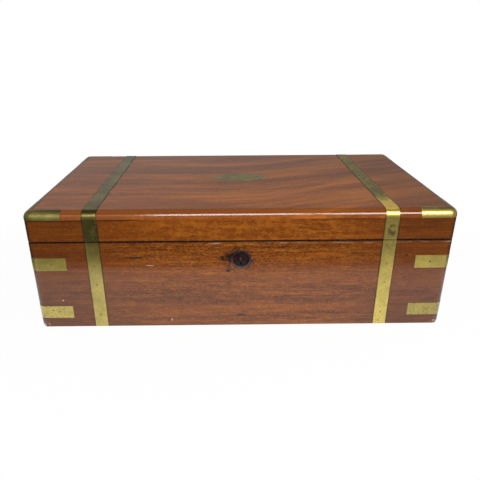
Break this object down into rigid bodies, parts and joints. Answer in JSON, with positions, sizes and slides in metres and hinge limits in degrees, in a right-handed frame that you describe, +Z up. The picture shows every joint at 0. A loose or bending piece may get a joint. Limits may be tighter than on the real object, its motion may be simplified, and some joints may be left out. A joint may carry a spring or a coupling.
{
  "type": "writing slope",
  "caption": "Shut wooden writing slope with a slanting seam, brass straps and corners, round escutcheon and lobed cartouche; it opens flat to a leather slope with a pen well.",
  "frame": {"origin": "on the table, under the middle of the shut box", "axes": "+X along the box to the right as seen from the lock side, +Y from the lock side to the hinges, +Z up"},
  "size_m": [0.5004, 0.2836, 0.1524],
  "materials": {
    "mahogany": "french polished, worn",
    "brass": "tarnished",
    "leather": "worn, with a gilt line",
    "glass": "clear",
    "lock_steel": "dulled"
  },
  "bodies": {
    "base": {"back_lower_corner_straps": "brass", "base_back_board": "mahogany", "base_back_left_strap": "brass", "base_back_right_strap": "brass", "base_bottom_board": "mahogany", "base_flap_battens": "mahogany", "base_flap_hinge_fixed_leaves": "brass", "base_flap_rail": "mahogany", "base_front_board": "mahogany", "base_front_left_strap": "brass", "base_front_right_strap": "brass", "base_left_board": "mahogany", "base_right_board": "mahogany", "front_left_lower_corner_strap": "brass", "front_left_upper_corner_strap": "brass", "front_right_lower_corner_strap": "brass", "front_right_upper_corner_strap": "brass", "hinge_base_leaves": "brass", "hinge_pins": "lock_steel", "ink_dividers": "mahogany", "inkwell_floors": "mahogany", "key_escutcheon": "brass", "lock_case": "lock_steel", "lock_plate": "brass", "pen_tray_bearers": "mahogany", "pen_well_partition": "mahogany"},
    "lid": {"lid_back_board": "mahogany", "lid_back_corner_straps": "brass", "lid_back_left_corner_mount": "brass", "lid_back_right_corner_mount": "brass", "lid_cartouche": "brass", "lid_flap_battens": "mahogany", "lid_flap_hinge_fixed_leaves": "brass", "lid_flap_rail": "mahogany", "lid_front_board": "mahogany", "lid_front_left_corner_mount": "brass", "lid_front_right_corner_mount": "brass", "lid_left_board": "mahogany", "lid_left_strap": "brass", "lid_right_board": "mahogany", "lid_right_strap": "brass", "lid_top_board": "mahogany", "lock_link_plate": "brass", "hinge_lid_leaves": "brass"},
    "base_flap": {"base_writing_flap": "mahogany", "base_writing_leather": "leather", "base_flap_hinge_moving_leaves": "brass"},
    "lid_flap": {"lid_writing_flap": "mahogany", "lid_writing_leather": "leather", "lid_flap_hinge_moving_leaves": "brass"},
    "pen_tray": {"pen_tray": "mahogany"},
    "left_inkwell": {"left_inkwell_glass": "glass", "left_inkwell_collar": "brass"},
    "right_inkwell": {"right_inkwell_glass": "glass", "right_inkwell_collar": "brass"},
    "left_inkwell_cap": {"left_inkwell_cap": "brass"},
    "right_inkwell_cap": {"right_inkwell_cap": "brass"},
    "lock_bolt": {"lock_bolt": "lock_steel"},
    "lid_flap_catch": {"lid_flap_catch": "brass"}
  },
  "joints": [
    {"name": "lid_hinge", "type": "hinge", "parent": "base", "child": "lid", "pos_m": [0, 0.1405, 0.076], "axis": [-1, 0, 0], "range_deg": [0, 180]},
    {"name": "base_flap_hinge", "type": "hinge", "parent": "base", "child": "base_flap", "pos_m": [0, 0.1157, 0.07824], "axis": [-1, 0, 0], "range_deg": [0, 75]},
    {"name": "lid_flap_hinge", "type": "hinge", "parent": "lid", "child": "lid_flap", "pos_m": [0, 0.1157, 0.08066], "axis": [1, 0, 0], "range_deg": [0, 75]},
    {"name": "pen_tray_lift", "type": "slide", "parent": "base", "child": "pen_tray", "axis": [0, 0, 1], "range_m": [0, 0.06]},
    {"name": "left_inkwell_lift", "type": "slide", "parent": "base", "child": "left_inkwell", "axis": [0, 0, 1], "range_m": [0, 0.05]},
    {"name": "right_inkwell_lift", "type": "slide", "parent": "base", "child": "right_inkwell", "axis": [0, 0, 1], "range_m": [0, 0.05]},
    {"name": "left_inkwell_cap_hinge", "type": "hinge", "parent": "left_inkwell", "child": "left_inkwell_cap", "pos_m": [-0.215, -0.0862, 0.09496], "axis": [-1, 0, 0], "range_deg": [0, 100]},
    {"name": "right_inkwell_cap_hinge", "type": "hinge", "parent": "right_inkwell", "child": "right_inkwell_cap", "pos_m": [0.215, -0.0862, 0.09496], "axis": [-1, 0, 0], "range_deg": [0, 100]},
    {"name": "lock_bolt_slide", "type": "slide", "parent": "base", "child": "lock_bolt", "axis": [1, 0, 0], "range_m": [0, 0.005]},
    {"name": "lid_flap_catch_turn", "type": "hinge", "parent": "lid", "child": "lid_flap_catch", "pos_m": [0.09, -0.1335, 0.1141], "axis": [0, 0.1377, 0.9905], "range_deg": [0, 90]}
  ],
  "couplings": [
    {"joint": "base_flap_hinge", "follows": "lid_hinge", "ratio": 0.41666},
    {"joint": "lid_flap_hinge", "follows": "lid_hinge", "ratio": 0.41666},
    {"joint": "pen_tray_lift", "follows": "lid_hinge", "m_per_rad": 0.01909},
    {"joint": "left_inkwell_lift", "follows": "lid_hinge", "m_per_rad": 0.0159},
    {"joint": "right_inkwell_lift", "follows": "lid_hinge", "m_per_rad": 0.0159},
    {"joint": "left_inkwell_cap_hinge", "follows": "lid_hinge", "ratio": 0.5555},
    {"joint": "right_inkwell_cap_hinge", "follows": "lid_hinge", "ratio": 0.5555}
  ]
}
